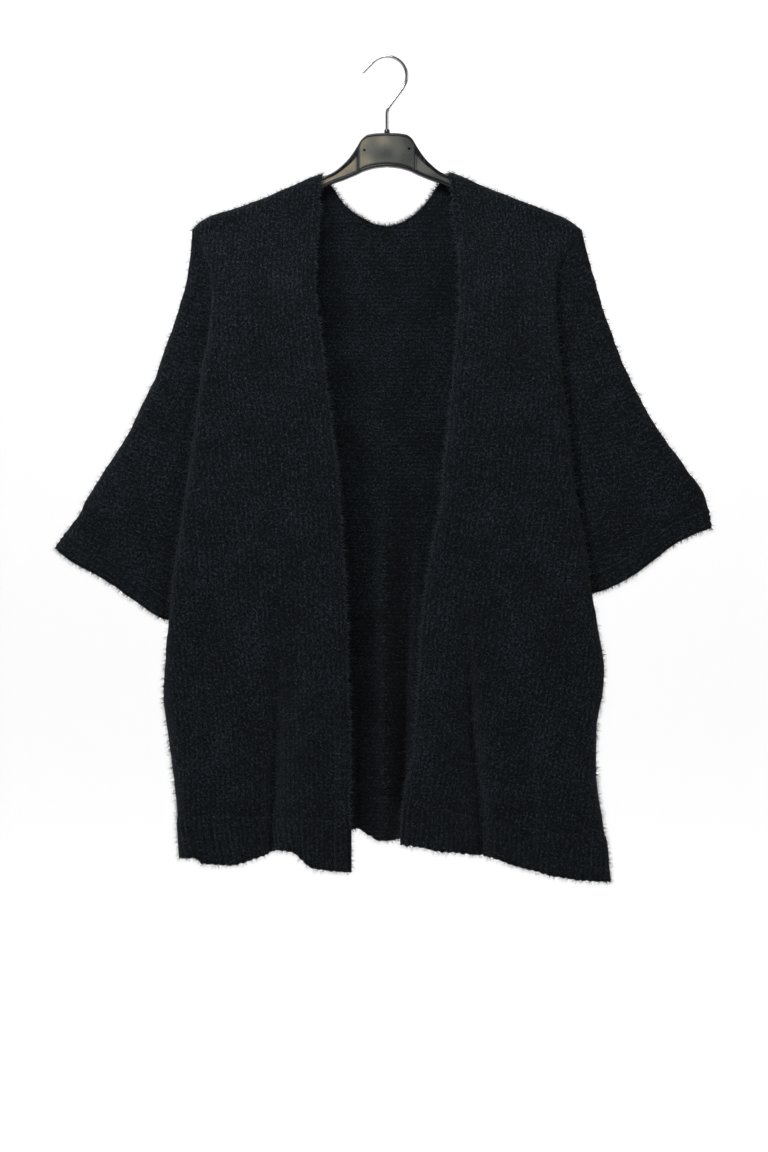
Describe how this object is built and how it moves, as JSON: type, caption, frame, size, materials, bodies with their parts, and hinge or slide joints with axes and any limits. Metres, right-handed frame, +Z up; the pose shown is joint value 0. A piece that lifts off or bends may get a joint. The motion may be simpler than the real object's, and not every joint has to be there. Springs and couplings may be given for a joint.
{
  "type": "open-front cardigan on a clothes hanger",
  "caption": "Open-front knitted cardigan with wide three-quarter sleeves and ribbed hem, hanging on a moulded hanger with a wire hook.",
  "frame": {"origin": "inside top of the hanger's hook, where a rail carries it", "axes": "+Z up, +X to the wearer's left, +Y from the garment's front to its back"},
  "size_m": [0.7458, 0.0637, 0.9373],
  "materials": {
    "knit": "brushed fuzzy knit",
    "hanger_plastic": "gloss",
    "hook_metal": "polished"
  },
  "bodies": {
    "root": {"back_panel": "knit", "front_right": "knit", "front_left": "knit", "sleeve_right": "knit", "sleeve_left": "knit", "cuff_right": "knit", "cuff_left": "knit", "hem_back": "knit", "hem_front_right": "knit", "hem_front_left": "knit", "hanger_body": "hanger_plastic", "hanger_collar": "hanger_plastic", "hanger_hook": "hook_metal"}
  },
  "joints": []
}
